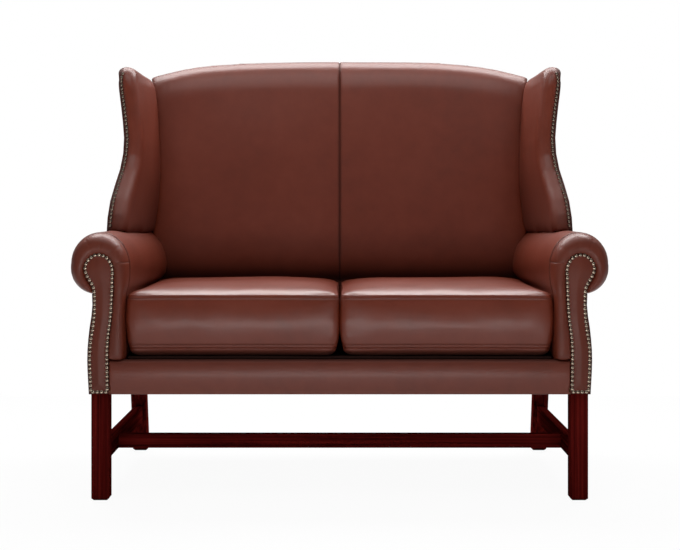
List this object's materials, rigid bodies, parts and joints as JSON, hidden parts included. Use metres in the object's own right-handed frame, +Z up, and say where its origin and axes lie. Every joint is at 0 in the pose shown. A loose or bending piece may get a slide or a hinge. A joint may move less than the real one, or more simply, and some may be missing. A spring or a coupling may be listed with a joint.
{
  "type": "high back settee",
  "caption": "Wing-back settee in brown leather with rolled scroll arms, nail trim, loose box cushions, and square mahogany legs with an H stretcher.",
  "frame": {"origin": "middle of the settee's footprint, on the floor", "axes": "+X to the right along the seat as a viewer in front sees it, +Y to the back, +Z up; the seat faces -Y"},
  "size_m": [1.3214, 0.7994, 1.1495],
  "materials": {
    "leather": "semi-gloss brown leather, fine grain, lightly shaded towards the seams",
    "mahogany": "dark red mahogany stain under satin lacquer",
    "beech": "planed, unfinished",
    "spring_steel": "bare drawn wire",
    "webbing": "woven elastic webbing, matt",
    "platform_cloth": "close-woven platform cloth, matt",
    "black_cloth": "thin spun cloth, matt",
    "antique_brass": "antiqued, dark in the rims and bright on the domes"
  },
  "bodies": {
    "settee_frame": {"front_leg_left": "mahogany", "front_leg_right": "mahogany", "rear_leg_left": "mahogany", "rear_leg_right": "mahogany", "side_stretcher_left": "mahogany", "side_stretcher_right": "mahogany", "side_rail_left": "beech", "side_rail_right": "beech", "front_corner_block_left": "beech", "front_corner_block_right": "beech", "rear_corner_block_left": "beech", "rear_corner_block_right": "beech", "seat_spring_1_left": "spring_steel", "seat_spring_1_right": "spring_steel", "seat_spring_2_left": "spring_steel", "seat_spring_2_right": "spring_steel", "seat_spring_3_left": "spring_steel", "seat_spring_3_right": "spring_steel", "inside_back_left": "leather", "inside_back_right": "leather", "arm_facing_left": "leather", "arm_facing_right": "leather", "arm_post_left": "beech", "arm_post_right": "beech", "arm_board_left": "beech", "arm_board_right": "beech", "wing_post_left": "beech", "wing_post_right": "beech", "wing_rail_left": "beech", "wing_rail_right": "beech", "arm_pad_left": "leather", "arm_pad_right": "leather", "outside_arm_left": "leather", "outside_arm_right": "leather", "outside_wing_left": "leather", "outside_wing_right": "leather", "wing_pad_left": "leather", "wing_pad_right": "leather", "facing_nails_left": "antique_brass", "facing_nails_right": "antique_brass", "wing_nails_left": "antique_brass", "wing_nails_right": "antique_brass", "cross_stretcher": "mahogany", "front_rail": "beech", "rear_rail": "beech", "centre_rail": "beech", "seat_deck": "platform_cloth", "dust_cover": "black_cloth", "back_lower_rail": "beech", "back_top_rail": "beech", "back_centre_post": "beech", "back_strap_1": "webbing", "back_strap_2": "webbing", "back_strap_3": "webbing", "outside_back": "leather", "front_border": "leather"},
    "seat_cushion_left": {"seat_cushion_left": "leather"},
    "seat_cushion_right": {"seat_cushion_right": "leather"}
  },
  "joints": [
    {"name": "seat_cushion_left_out", "type": "slide", "parent": "settee_frame", "child": "seat_cushion_left", "axis": [0, -1, 0], "range_m": [0, 0.6]},
    {"name": "seat_cushion_right_out", "type": "slide", "parent": "settee_frame", "child": "seat_cushion_right", "axis": [0, -1, 0], "range_m": [0, 0.6]}
  ]
}
